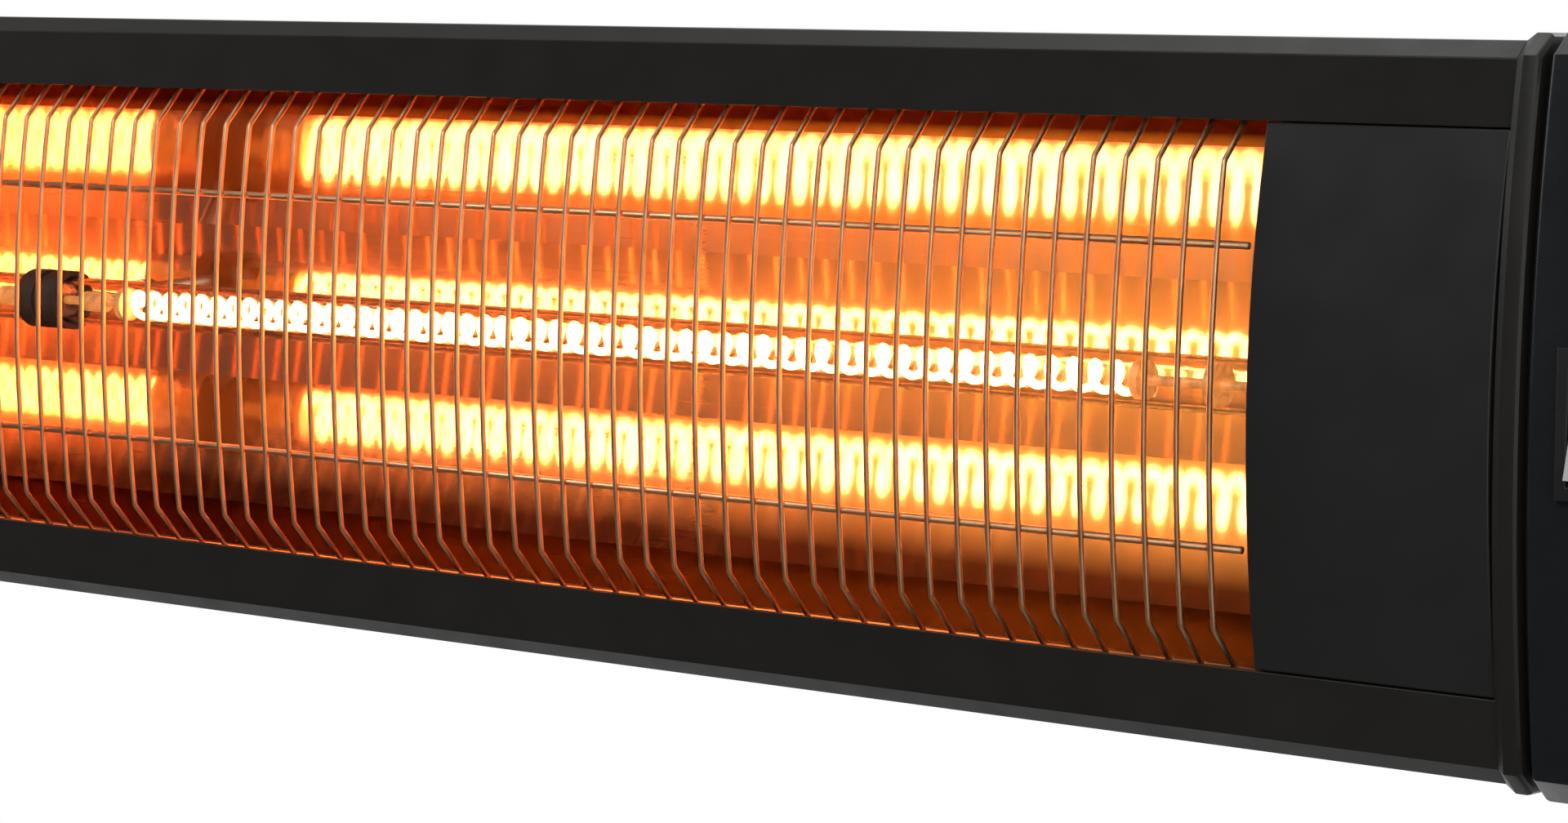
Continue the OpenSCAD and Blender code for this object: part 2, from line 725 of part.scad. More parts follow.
bracket_t = 1.5;
module holder_bracket(side) color(steel) on_side(side)
    difference() {
        union() {
            block_yz(outer_holder_x + outer_holder_w, outer_holder_x + outer_holder_w + bracket_t,
                     lamp_depth - 10, shield_face, -12, 12);
            block_yz(outer_holder_x + outer_holder_w, outer_holder_x + outer_holder_w + 14,
                     shield_face - bracket_t, shield_face, -12, 12);
        }
        rod_x(outer_holder_x, outer_holder_x + outer_holder_w + 5, [lamp_depth, 0], 2 * wire_r + 1);
    }

// ---- Wiring ----

screw_cols = [block_x + 11, block_x + 21];
screw_rows = [block_z + 5, block_z + 14, block_z + 23];
terminal_screw_d = 4;

module terminal_block() color("#e6e2d8")
    difference() {
        block_yz(block_x, block_x + block_w, block_front, shield_face, block_z, block_z + block_w);
        for (x = screw_cols, z = screw_rows) rod_y(x, z, block_front - 1, block_front + 3, terminal_screw_d + 0.4);
    }

module terminal_screws() color(steel)
    for (x = screw_cols, z = screw_rows)
        difference() {
            rod_y(x, z, block_front + 0.4, block_front + 3, terminal_screw_d);
            block_yz(x - 3, x + 3, block_front, block_front + 1.2, z - 0.4, z + 0.4);
        }

earth_at = [block_x + 16, -slot_z];
earth_d = 4;
module earth_screw() color("#c9a648")
    union() {
        rod_y(earth_at[0], earth_at[1], shield_face - 3, shield_face, 8);
        rod_y(earth_at[0], earth_at[1], shield_face - 1, slot_floor + 3, earth_d);
    }

function at(x, d, z) = [x, lip_y + d, z];
holder_back = outer_holder_x + outer_holder_bore + 1;

module supply_wire_left() color("#b8442e")
    wire([
        at(-holder_back, lamp_depth, 0), at(-holder_back - 12, lamp_depth, 0),
        at(-holder_back - 20, lamp_depth + 6, 6), at(-holder_back - 22, wire_depth - 6, 28),
        at(-holder_back - 10, wire_depth, 34), at(-holder_back + 20, wire_depth, 34),
        at(0, wire_depth, 34), at(block_x - 30, wire_depth, 34),
        at(block_x - 8, wire_depth, 34), at(block_x, wire_depth, 34)
    ], [0, 0, 1]);

module supply_wire_right() color("#b8442e")
    wire([
        at(holder_back, lamp_depth, 0), at(holder_back + 12, lamp_depth, 0),
        at(holder_back + 17, lamp_depth + 5, 9), at(block_x + 4, lamp_depth + 8, block_z + 5),
        at(block_x + 4, block_front - 5, block_z + 9), at(block_x + 4, block_front, block_z + 9)
    ], [0, 0, 1]);

module supply_wire_centre() color("#2d2d2d")
    wire([
        at(0, post_end, 0), at(0, post_end + 3, 0), at(5, wire_depth + 0.6, 10), at(20, wire_depth, 22),
        at(50, wire_depth, 24), at(block_x - 30, wire_depth, 24), at(block_x - 8, wire_depth, 24),
        at(block_x, wire_depth, 24)
    ], [1, 0, 0]);

module earth_wire() color("#7fa23a")
    wire([
        at(earth_at[0], shield_face - 3, earth_at[1]), at(earth_at[0], shield_face - 6, earth_at[1]),
        at(earth_at[0], shield_face - 9, -20), at(earth_at[0], shield_face - 8, 0),
        at(earth_at[0], shield_face - 7, block_z - 5), at(earth_at[0], shield_face - 7, block_z)
    ], [1, 0, 0]);

switch_cut_w = cavity_w + 2 * switch_wall + 0.4;
switch_cut_h = cavity_h + 2 * switch_wall + 0.4;

module switch_wires() color("#2d2d2d")
    for (k = [-1, 1])
        wire([
            at(switch_x, bezel_front + switch_d, 5 * k), at(switch_x, bezel_front + switch_d + 6, 5 * k),
            at(switch_x - 5, 34, 20 + 5 * k), at(block_x + block_w + 9, 48, 32 + 7 * k),
            at(block_x + block_w, 48, 32 + 7 * k)
        ], [0, 0, 1]);

module gland_ring(d0, d1, d, bore, sides = 48)
    difference() {
        rod_y(gland_at[0], gland_at[1], d0, d1, d, sides);
        rod_y(gland_at[0], gland_at[1], d0 - 1, d1 + 1, bore);
    }

gland_face = housing_d + cap_proud;
gland_hex_d = 21;
module cable_gland_body() color("#141414")
    difference() {
        union() {
            rod_y(gland_at[0], gland_at[1], gland_face - 10, gland_face + 9, gland_thread_d);
            rod_y(gland_at[0], gland_at[1], gland_face, gland_face + 4, gland_hex_d, 6);
        }
        rod_y(gland_at[0], gland_at[1], gland_face - 11, gland_face + 10, gland_bore);
    }
module cable_gland_locknut() color("#141414")
    gland_ring(gland_face - cap_wall - 4.5, gland_face - cap_wall, gland_hex_d, gland_thread_d, 6);
module cable_gland_nut() color("#141414")
    difference() {
        union() {
            rod_y(gland_at[0], gland_at[1], gland_face + 4, gland_face + 11, gland_hex_d, 6);
            rod_y(gland_at[0], gland_at[1], gland_face + 10, gland_face + 16, 17);
        }
        rod_y(gland_at[0], gland_at[1], gland_face + 3, gland_face + 9, gland_thread_d);
        rod_y(gland_at[0], gland_at[1], gland_face + 8, gland_face + 17, gland_bore);
    }

// ---- Rocker switch ----

module switch_body() color("#121212") {
    half_w = cavity_w / 2 + switch_wall;
    half_hh = cavity_h / 2 + switch_wall;
    difference() {
        union() {
            block_yz(switch_x - half_w, switch_x + half_w, bezel_front + 0.5, bezel_front + switch_d,
                     -half_hh, half_hh);
            block_yz(switch_x - half_w - 1.2, switch_x + half_w + 1.2, bezel_front, cap_front,
                     -half_hh - 1.4, half_hh + 1.4);
        }
        block_yz(switch_x - cavity_w / 2, switch_x + cavity_w / 2, bezel_front - 1, rocker_axis + 5,
                 -cavity_h / 2, cavity_h / 2);
        rod_x(switch_x - cavity_w / 2 - 1, switch_x + cavity_w / 2 + 1, [rocker_axis, 0], rocker_pin_d + 0.5);
    }
}

module switch_rocker() color("#c9ccce")
    translate([switch_x, lip_y + rocker_axis, 0]) rotate([-rocker_swing / 2, 0, 0]) rotate([90, 0, 90]) {
        h = rocker_h / 2;
        union() {
            translate([0, 0, -rocker_w / 2]) linear_extrude(rocker_w)
                polygon([[-4.3, h], [-3, 0], [-4.3, -h], [1.2, -h], [3.4, 0], [1.2, h]]);
            translate([0, 0, -rocker_w / 2 - 1.2]) cylinder(d = rocker_pin_d, h = rocker_w + 2.4);
        }
    }

wall_bracket(-1);  // wall_bracket_left
wall_bracket(1);  // wall_bracket_right
tilt_arm(-1);  // tilt_arm_left
tilt_arm(1);  // tilt_arm_right
pivot_bolts();
pivot_nuts();
lock_bolts();
lock_washers();
lock_nuts();
slot_bolts();
slot_nuts();
housing();
reflector();
heat_shield();
reflector_end(-1);  // reflector_end_left
reflector_end(1);  // reflector_end_right
wire_guard();
cover_panel(-1);  // cover_panel_left
cover_panel(1);  // cover_panel_right
end_collar(-1);  // end_collar_left
end_collar(1);  // end_collar_right
end_seal(-1);  // end_seal_left
end_seal(1);  // end_seal_right
end_cap_left();
end_cap_right();
end_cap_screws();
quartz_tube(-1);  // quartz_tube_left
quartz_tube(1);  // quartz_tube_right
filament(-1);  // filament_left
filament(1);  // filament_right
lamp_leads(-1);  // lamp_leads_left
lamp_leads(1);  // lamp_leads_right
centre_lamp_holder();
centre_holder_post();
centre_holder_nut();
outer_lamp_holder(-1);  // outer_lamp_holder_left
outer_lamp_holder(1);  // outer_lamp_holder_right
holder_bracket(-1);  // holder_bracket_left
holder_bracket(1);  // holder_bracket_right
terminal_block();
terminal_screws();
supply_wire_left();
supply_wire_right();
supply_wire_centre();
earth_screw();
earth_wire();
switch_wires();
cable_gland_body();
cable_gland_nut();
cable_gland_locknut();
switch_body();
switch_rocker();
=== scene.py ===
import json
import math

import bmesh
import bpy
from mathutils import Matrix, Vector


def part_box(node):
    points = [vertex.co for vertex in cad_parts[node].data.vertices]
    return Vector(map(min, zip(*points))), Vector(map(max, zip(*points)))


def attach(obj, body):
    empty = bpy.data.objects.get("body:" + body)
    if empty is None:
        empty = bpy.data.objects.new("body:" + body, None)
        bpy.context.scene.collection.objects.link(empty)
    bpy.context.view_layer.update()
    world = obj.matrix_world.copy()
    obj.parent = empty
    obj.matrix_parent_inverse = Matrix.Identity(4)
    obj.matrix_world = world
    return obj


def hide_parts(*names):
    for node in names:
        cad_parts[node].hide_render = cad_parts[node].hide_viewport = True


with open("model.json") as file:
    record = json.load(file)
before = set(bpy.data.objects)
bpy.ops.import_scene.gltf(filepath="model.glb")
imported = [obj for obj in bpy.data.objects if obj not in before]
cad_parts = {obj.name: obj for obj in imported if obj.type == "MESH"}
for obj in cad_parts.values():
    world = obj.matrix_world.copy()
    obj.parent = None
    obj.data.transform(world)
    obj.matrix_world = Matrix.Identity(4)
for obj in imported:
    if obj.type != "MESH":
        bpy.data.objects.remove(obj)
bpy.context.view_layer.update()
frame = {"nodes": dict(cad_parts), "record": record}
nodes = frame["nodes"]
MM = 0.001

# ---- Camera: right of the heater, looking along its front and slightly down ----

CAMERA_PLACE = (0.8898, -0.9035, 0.0736)
CAMERA_YAW = math.radians(39.62)
CAMERA_PITCH = math.radians(4.889)
CAMERA_ROLL = math.radians(0.82)
CAMERA_LENS = 104.66
SENSOR_WIDTH = 36


def make_camera():
    data = bpy.data.cameras.new("camera")
    data.lens = CAMERA_LENS
    data.sensor_width = SENSOR_WIDTH
    data.clip_start = 0.01
    data.clip_end = 100
    camera = bpy.data.objects.new("camera", data)
    bpy.context.scene.collection.objects.link(camera)
    camera.matrix_world = (
        Matrix.Translation(CAMERA_PLACE)
        @ Matrix.Rotation(CAMERA_YAW, 4, "Z")
        @ Matrix.Rotation(math.pi / 2 - CAMERA_PITCH, 4, "X")
        @ Matrix.Rotation(CAMERA_ROLL, 4, "Z")
    )
    bpy.context.scene.camera = camera


make_camera()

# ---- Sizes shared with the frame, in metres ----

housing_low, housing_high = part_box("housing")
LIP_Y = housing_low.y
HALF_H = housing_high.z
WINDOW_HALF_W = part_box("cover_panel_right")[0].x
LAMP_DEPTH = 19.5 * MM
LIP_H = 16.7 * MM
WINDOW_HALF_H = HALF_H - LIP_H


def at_depth(depth, x, z):
    """A point that lies depth behind the lip plane."""
    return Vector((x, LIP_Y + depth, z))


# ---- Node helpers ----


class NodeTree:
    """Short calls that add nodes to a node tree and link them."""

    def __init__(self, tree):
        self.tree = tree

    def add(self, kind, **values):
        node = self.tree.nodes.new(kind)
        for name, value in values.items():
            setattr(node, name, value)
        return node

    def link(self, start, end):
        self.tree.links.new(start, end)

    def ranged(self, value, low, high, start=0.3, end=0.7):
        """value between start and end, mapped to low and high. The usual start and end spread a noise."""
        node = self.add("ShaderNodeMapRange")
        self.link(value, node.inputs["Value"])
        for name, number in (("From Min", start), ("From Max", end), ("To Min", low), ("To Max", high)):
            node.inputs[name].default_value = number
        return node.outputs["Result"]

    def combined(self, operation, first, second):
        """Two numbers put through a sum such as MAXIMUM or MULTIPLY."""
        node = self.add("ShaderNodeMath", operation=operation)
        self.link(first, node.inputs[0])
        self.link(second, node.inputs[1])
        return node.outputs["Value"]

    def axes(self, vector):
        """The X, Y and Z of a vector."""
        node = self.add("ShaderNodeSeparateXYZ")
        self.link(vector, node.inputs["Vector"])
        return node.outputs

    def mixed(self, factor, first, second):
        """A shader between two, by factor."""
        node = self.add("ShaderNodeMixShader")
        self.link(factor, node.inputs["Fac"])
        self.link(first, node.inputs[1])
        self.link(second, node.inputs[2])
        return node.outputs["Shader"]

    def backdrop_share(self, behind):
        """1 for rays that should see the white backdrop: the camera's, and mirrored ones where behind is 1."""
        paths = self.add("ShaderNodeLightPath").outputs
        mirrored = self.combined("MAXIMUM", paths["Is Glossy Ray"], paths["Is Transmission Ray"])
        return self.combined("MAXIMUM", self.combined("MULTIPLY", mirrored, behind), paths["Is Camera Ray"])


class Finish(NodeTree):
    """A material with one Principled shader, and short calls that give it texture."""

    def __init__(self, name, colour=(0.8, 0.8, 0.8), rough=0.5, metal=0.0, specular=0.5):
        self.material = bpy.data.materials.new(name)
        self.material.use_nodes = True
        super().__init__(self.material.node_tree)
        self.shader = self.tree.nodes["Principled BSDF"]
        self.shader.inputs["Base Color"].default_value = (*colour, 1)
        self.shader.inputs["Roughness"].default_value = rough
        self.shader.inputs["Metallic"].default_value = metal
        self.shader.inputs["Specular IOR Level"].default_value = specular
        self.place = self.add("ShaderNodeTexCoord").outputs["Object"]

    def noise(self, size, detail=3.0, stretch=(1, 1, 1), rough=0.5):
        """Noise whose lumps are size metres across, drawn out along an axis by its stretch."""
        mapping = self.add("ShaderNodeMapping")
        mapping.inputs["Scale"].default_value = [1 / (size * s) for s in stretch]
        self.link(self.place, mapping.inputs["Vector"])
        noise = self.add("ShaderNodeTexNoise")
        noise.inputs["Scale"].default_value = 1
        noise.inputs["Detail"].default_value = detail
        noise.inputs["Roughness"].default_value = rough
        self.link(mapping.outputs["Vector"], noise.inputs["Vector"])
        return noise.outputs["Fac"]

    def blend(self, factor, first, second):
        """A colour between two, by factor."""
        node = self.add("ShaderNodeMix", data_type="RGBA")
        self.link(factor, node.inputs["Factor"])
        for socket, colour in ((node.inputs["A"], first), (node.inputs["B"], second)):
            if isinstance(colour, tuple):
                socket.default_value = (*colour, 1)
            else:
                self.link(colour, socket)
        return node.outputs["Result"]

    def colour(self, socket):
        self.link(socket, self.shader.inputs["Base Color"])

    def mottle(self, noise, dark, light):
        """Colour that wanders between two shades."""
        self.colour(self.blend(self.ranged(noise, 0, 1), dark, light))

    def gloss(self, noise, low, high):
        """Roughness that wanders between two values."""
        self.link(self.ranged(noise, low, high), self.shader.inputs["Roughness"])

    def bump(self, height, distance, strength=1.0):
        node = self.add("ShaderNodeBump")
        node.inputs["Distance"].default_value = distance
        node.inputs["Strength"].default_value = strength
        self.link(height, node.inputs["Height"])
        self.link(node.outputs["Normal"], self.shader.inputs["Normal"])

    def show(self, shader):
        """Shows another shader in place of the Principled one."""
        self.tree.nodes.remove(self.shader)
        self.link(shader, self.tree.nodes["Material Output"].inputs["Surface"])


def powder_coat(name, dark, light, rough, specular):
    """Baked powder paint: a fine orange peel, with faint broad changes of shade and gloss."""
    f = Finish(name, dark, rough, specular=specular)
    f.mottle(f.noise(60 * MM, 4), dark, light)
    f.gloss(f.noise(14 * MM, 5), rough - 0.05, rough + 0.06)
    f.bump(f.noise(1.1 * MM, 2), 0.04 * MM, 0.5)
    return f.material


def moulded_plastic(name, dark, light, rough, specular=0.5):
    """Moulded plastic: fine spark-eroded grain and faint handling marks in its gloss."""
    f = Finish(name, dark, rough, specular=specular)
    f.mottle(f.noise(25 * MM, 3), dark, light)
    f.gloss(f.noise(9 * MM, 6, rough=0.65), rough - 0.04, rough + 0.08)
    f.bump(f.noise(0.5 * MM, 2), 0.03 * MM, 0.4)
    return f.material


def plated_steel(name, dark, light, rough, grain=(1, 1, 1)):
    """Zinc-plated steel: mottled plating over drawing marks."""
    f = Finish(name, light, rough, metal=1.0)
    f.mottle(f.noise(5 * MM, 5, rough=0.6), dark, light)
    f.gloss(f.noise(2 * MM, 4, grain), rough - 0.08, rough + 0.1)
    f.bump(f.noise(0.8 * MM, 3, grain), 0.02 * MM, 0.5)
    return f.material


def fired_ceramic(name, dark, light, rough):
    """Steatite: matt, finely granular, with darker stains from heat."""
    f = Finish(name, light, rough)
    f.mottle(f.noise(7 * MM, 5, rough=0.65), dark, light)
    f.gloss(f.noise(1.5 * MM, 4), rough - 0.08, rough + 0.08)
    f.bump(f.noise(0.6 * MM, 4), 0.05 * MM, 0.6)
    return f.material


def soft_sleeve(name, dark, light, rough=0.5):
    """Silicone or woven sleeving on a wire."""
    f = Finish(name, light, rough)
    f.mottle(f.noise(4 * MM, 4), dark, light)
    f.gloss(f.noise(1.5 * MM, 3), rough - 0.08, rough + 0.1)
    f.bump(f.noise(0.4 * MM, 2), 0.05 * MM, 0.5)
    return f.material


def guard_steel(name):
    """Bright drawn wire, tinted orange-brown as painted glow."""
    f = Finish(name, (0.5, 0.3, 0.2), 0.35, metal=1.0)
    # Painted glow: the wire's colour is orange-brown so that studio light on it looks warmed by the filaments.
    f.mottle(f.noise(9 * MM, 4), (0.72, 0.36, 0.17), (0.88, 0.52, 0.28))
    f.gloss(f.noise(0.7 * MM, 3, (1, 1, 12)), 0.36, 0.52)
    f.bump(f.noise(0.5 * MM, 3, (1, 1, 10)), 0.02 * MM, 0.6)
    return f.material


def hot_metal(name, colour, warm, strength):
    """Metal that stands by a filament and glows dully itself."""
    f = Finish(name, colour, 0.5, metal=1.0)
    patches = f.ranged(f.noise(2.5 * MM, 4), 0, 1)
    f.colour(f.blend(patches, colour, tuple(0.6 * c for c in colour)))
    f.gloss(f.noise(1.5 * MM, 3), 0.4, 0.6)
    f.link(f.blend(patches, warm, tuple(0.5 * c for c in warm)), f.shader.inputs["Emission Color"])
    f.shader.inputs["Emission Strength"].default_value = strength
    return f.material


def glowing_coil(name, shaded, glow, strength):
    """The filament at full heat, a little cooler where neighbouring turns shade it."""
    f = Finish(name, (0.9, 0.5, 0.2), 0.6)
    heat = f.ranged(f.noise(3 * MM, 3), 0, 1)
    f.link(f.blend(heat, shaded, glow), f.shader.inputs["Emission Color"])
    f.shader.inputs["Emission Strength"].default_value = strength
    return f.material


QUARTZ_IOR = 1.46

# The trough's reflection is made of three parts: its colour towards the left end and its colour towards the right
# end, both tinted orange as painted glow of the filaments, least and most roughness, and how far the reflection is
# drawn out across the grain.
MIRROR_LOBES = {
    "clear": ((0.82, 0.48, 0.28), (0.92, 0.8, 0.7), 0.05, 0.09, -0.3),
    "bloom": ((0.86, 0.5, 0.22), (0.92, 0.72, 0.42), 0.22, 0.28, -0.7),
    "haze": ((0.9, 0.26, 0.04), (0.97, 0.8, 0.16), 0.48, 0.56, 0.0),
}


def mirror_sheet(name):
    """Polished aluminium, brushed along its length, whose reflection is tinted orange as painted glow, in a tint
    that changes towards its left end, with painted shade along its rims."""
    f = Finish(name)
    place = f.axes(f.place)
    # Painted shade: the sheet turns nearly black near its upper rim for the shadow under the top lip, and near its
    # lower rim for the dark bottom lip it reflects.
    upper_painted_shade = f.ranged(place["Z"], 0, 1, 47 * MM, 52 * MM)
    lower_painted_shade = f.ranged(place["Z"], 0.95, 0, -45 * MM, -33 * MM)
    painted_shade = f.combined("MAXIMUM", upper_painted_shade, lower_painted_shade)
    # Painted glow: each part's orange tint changes from the left end to the right end.
    along = f.ranged(place["X"], 0, 1, -0.02, 0.3)
    grain = f.noise(1.1 * MM, 4, (60, 1, 1), 0.6)
    around = f.add("ShaderNodeTangent", direction_type="RADIAL", axis="X").outputs["Tangent"]
    lobes = {}
    for part, (left_glow_tint, right_glow_tint, least, most, stretch) in MIRROR_LOBES.items():
        lobe = f.add("ShaderNodeBsdfAnisotropic", name=part)
        # Colour of the painted shade: a tenth or less of the left glow tint.
        painted_shade_colour = tuple(share * c for share, c in zip((0.1, 0.05, 0.05), left_glow_tint))
        f.link(f.blend(painted_shade, f.blend(along, left_glow_tint, right_glow_tint), painted_shade_colour), lobe.inputs["Color"])
        f.link(f.ranged(grain, least, most), lobe.inputs["Roughness"])
        lobe.inputs["Anisotropy"].default_value = stretch
        f.link(around, lobe.inputs["Tangent"])
        lobes[part] = lobe.outputs["BSDF"]
    blurred = f.mixed(f.ranged(place["X"], 0.3, 0.04, -0.08, 0.06), lobes["clear"], lobes["bloom"])
    f.show(f.mixed(f.ranged(place["X"], 0.2, 0.42, 0.05, 0.34), blurred, lobes["haze"]))
    return f.material


def quartz_glass(name):
    """Clear drawn quartz with slight ripples, which bends what is seen through it and lets the glow out
    unhindered."""
    f = Finish(name)
    glass = f.add("ShaderNodeBsdfGlass")
    glass.inputs["Color"].default_value = (0.99, 0.975, 0.95, 1)
    glass.inputs["Roughness"].default_value = 0.0
    glass.inputs["IOR"].default_value = QUARTZ_IOR
    ripple = f.add("ShaderNodeBump")
    ripple.inputs["Distance"].default_value = 0.03 * MM
    f.link(f.noise(3 * MM, 2, (3, 1, 1)), ripple.inputs["Height"])
    f.link(ripple.outputs["Normal"], glass.inputs["Normal"])
    clear = f.add("ShaderNodeBsdfTransparent")
    clear.inputs["Color"].default_value = (0.97, 0.95, 0.92, 1)
    paths = f.add("ShaderNodeLightPath").outputs
    passing = f.combined("MAXIMUM", paths["Is Shadow Ray"], paths["Is Diffuse Ray"])
    f.show(f.mixed(passing, glass.outputs["BSDF"], clear.outputs["BSDF"]))
    return f.material


# How each material slot of the record is finished: the function that makes it, and its values
FINISHES = {
    "bracket_paint": (powder_coat, (0.014, 0.014, 0.015), (0.022, 0.022, 0.023), 0.5, 0.4),
    "housing_paint": (powder_coat, (0.0165, 0.0155, 0.0132), (0.0205, 0.019, 0.0164), 0.4, 0.4),
    "panel_paint": (powder_coat, (0.02, 0.0196, 0.019), (0.025, 0.0244, 0.0236), 0.42, 0.4),
    "cap_gloss": (moulded_plastic, (0.0125, 0.0135, 0.0165), (0.0145, 0.016, 0.019), 0.26),
    "seal_rubber": (moulded_plastic, (0.006, 0.006, 0.006), (0.011, 0.011, 0.011), 0.7, 0.3),
    "mirror_sheet": (mirror_sheet,),
    "shield_sheet": (plated_steel, (0.45, 0.45, 0.46), (0.62, 0.62, 0.62), 0.42, (30, 1, 1)),
    "zinc_steel": (plated_steel, (0.42, 0.43, 0.44), (0.62, 0.62, 0.6), 0.36),
    "guard_wire": (guard_steel,),
    "quartz": (quartz_glass,),
    "glowing_coil": (glowing_coil, (1.0, 0.26, 0.05), (1.0, 0.33, 0.13), 28),
    "lead_metal": (hot_metal, (0.6, 0.42, 0.3), (1.0, 0.34, 0.07), 0.8),
    "holder_ceramic": (fired_ceramic, (0.035, 0.02, 0.014), (0.075, 0.05, 0.038), 0.6),
    "white_ceramic": (fired_ceramic, (0.6, 0.54, 0.46), (0.76, 0.73, 0.68), 0.6),
    "block_plastic": (moulded_plastic, (0.72, 0.69, 0.6), (0.8, 0.78, 0.72), 0.5),
    "red_sleeve": (soft_sleeve, (0.36, 0.06, 0.03), (0.48, 0.09, 0.05)),
    "dark_sleeve": (soft_sleeve, (0.02, 0.02, 0.02), (0.035, 0.035, 0.035)),
    "earth_sleeve": (soft_sleeve, (0.12, 0.3, 0.04), (0.62, 0.56, 0.05)),
    "brass": (plated_steel, (0.5, 0.36, 0.13), (0.74, 0.58, 0.28), 0.33),
    "gland_plastic": (moulded_plastic, (0.014, 0.014, 0.014), (0.022, 0.022, 0.022), 0.42),
    "switch_plastic": (moulded_plastic, (0.014, 0.014, 0.015), (0.02, 0.02, 0.021), 0.4),
    "rocker_plastic": (moulded_plastic, (0.56, 0.57, 0.58), (0.64, 0.65, 0.66), 0.3),
}
MATERIALS = {name: make(name, *values) for name, (make, *values) in FINISHES.items()}


def paint_cad_nodes():
    for row in frame["record"]["subparts"]:
        mesh = nodes[row["node"]].data
        mesh.materials.clear()
        mesh.materials.append(MATERIALS[row["material_slot"]])


paint_cad_nodes()

# ---- Mesh helpers ----


def finished(bm, name, slot, body, *replaced, shade=True):
    """Turns a bmesh into a piece of the object, riding on its body."""
    if shade:
        bmesh.ops.recalc_face_normals(bm, faces=bm.faces)
        for face in bm.faces:
            face.smooth = True
    mesh = bpy.data.meshes.new(name)
    bm.to_mesh(mesh)
    bm.free()
    mesh.materials.append(MATERIALS[slot])
    piece = bpy.data.objects.new(name, mesh)
    bpy.context.scene.collection.objects.link(piece)
    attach(piece, body)
    if replaced:
        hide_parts(*replaced)


def verts_in(geom):
    return [g for g in geom if isinstance(g, bmesh.types.BMVert)]


def sweep_tube(bm, path, radius, sides):
    """A closed round tube along a path, made by drawing out a disc from point to point."""
    start = bmesh.ops.create_circle(bm, cap_ends=True, segments=sides, radius=radius)["verts"]
    heading = (path[1] - path[0]).normalized()
    turn = heading.to_track_quat("Z", "X")
    bmesh.ops.transform(bm, matrix=Matrix.Translation(path[0]) @ turn.to_matrix().to_4x4(), verts=start)
    ring = [e for e in bm.edges if all(v in start for v in e.verts)]
    for i in range(1, len(path)):
        drawn = bmesh.ops.extrude_edge_only(bm, edges=ring)["geom"]
        verts = verts_in(drawn)
        ring = [g for g in drawn if isinstance(g, bmesh.types.BMEdge) and g.is_boundary]
        ahead = path[min(i + 1, len(path) - 1)] - path[i - 1]
        bend = heading.rotation_difference(ahead.normalized())
        heading = ahead.normalized()
        bmesh.ops.translate(bm, vec=path[i] - path[i - 1], verts=verts)
        bmesh.ops.rotate(bm, cent=path[i], matrix=bend.to_matrix(), verts=verts)
    bmesh.ops.holes_fill(bm, edges=ring)


def rounded(points, radius, steps):
    """A polyline whose corners are turned with arcs."""
    out = [points[0]]
    for a, b, c in zip(points, points[1:], points[2:]):
        into, away = (b - a).normalized(), (c - b).normalized()
        turn = into.angle(away)
        reach = radius * math.tan(turn / 2)
        first, last = b - into * reach, b + away * reach
        side = (away - into * away.dot(into)).normalized()
        centre = first + side * radius
        for i in range(steps + 1):
            angle = turn * i / steps
            out.append(centre + radius * (into * math.sin(angle) - side * math.cos(angle)))
    out.append(points[-1])
    return out


BODY_OF = {node: body for body, held in frame["record"]["behaviour"]["bodies"].items() for node in held}
SLOT_OF = {row["node"]: row["material_slot"] for row in frame["record"]["subparts"]}


WELD = 0.002 * MM
FLAT = math.radians(0.4)
FACETED = math.radians(0.5)
SHARP = math.radians(28)
STRIP_BEND = SHARP + 0.3


def softened(node, width):
    """A copy of a frame's node whose sharp edges are rounded a little, shown in its place."""
    bm = bmesh.new()
    bm.from_mesh(nodes[node].data)
    bmesh.ops.remove_doubles(bm, verts=bm.verts, dist=WELD)
    bmesh.ops.dissolve_limit(bm, angle_limit=FLAT, verts=bm.verts, edges=bm.edges)
    bends = {e: e.calc_face_angle(0) for e in bm.edges}
    for face in bm.faces:
        face.smooth = any(FACETED < bends[e] < SHARP for e in face.edges)
    sharp = [e for e in bm.edges if bends[e] >= SHARP]
    made = bmesh.ops.bevel(
        bm, geom=sharp, offset=width, offset_type="OFFSET", segments=3, profile=0.5,
        affect="EDGES", clamp_overlap=True, miter_outer="ARC",
    )
    strips = set(made["faces"])
    for face in strips:
        face.smooth = True
    for edge in bm.edges:
        all_alike = len({face in strips for face in edge.link_faces}) == 1
        edge.smooth = all_alike and edge.calc_face_angle(0) < STRIP_BEND
    finished(bm, node + "_soft", SLOT_OF[node], BODY_OF[node], node, shade=False)


# Width of the rounding on each softened node, in mm
SOFTENED = {
    "housing": 0.3, "cover_panel_left": 0.4, "cover_panel_right": 0.4,
    "end_collar_left": 0.4, "end_collar_right": 0.4, "end_cap_left": 0.7, "end_cap_right": 0.4,
    "wall_bracket_left": 0.4, "wall_bracket_right": 0.4, "tilt_arm_left": 0.4, "tilt_arm_right": 0.4,
    "switch_rocker": 0.6, "switch_body": 0.3, "outer_lamp_holder_left": 0.5, "outer_lamp_holder_right": 0.5,
    "centre_lamp_holder": 0.4, "terminal_block": 0.6,
}
for soft_node, soft_width in SOFTENED.items():
    softened(soft_node, soft_width * MM)

# ---- Wire guard ----

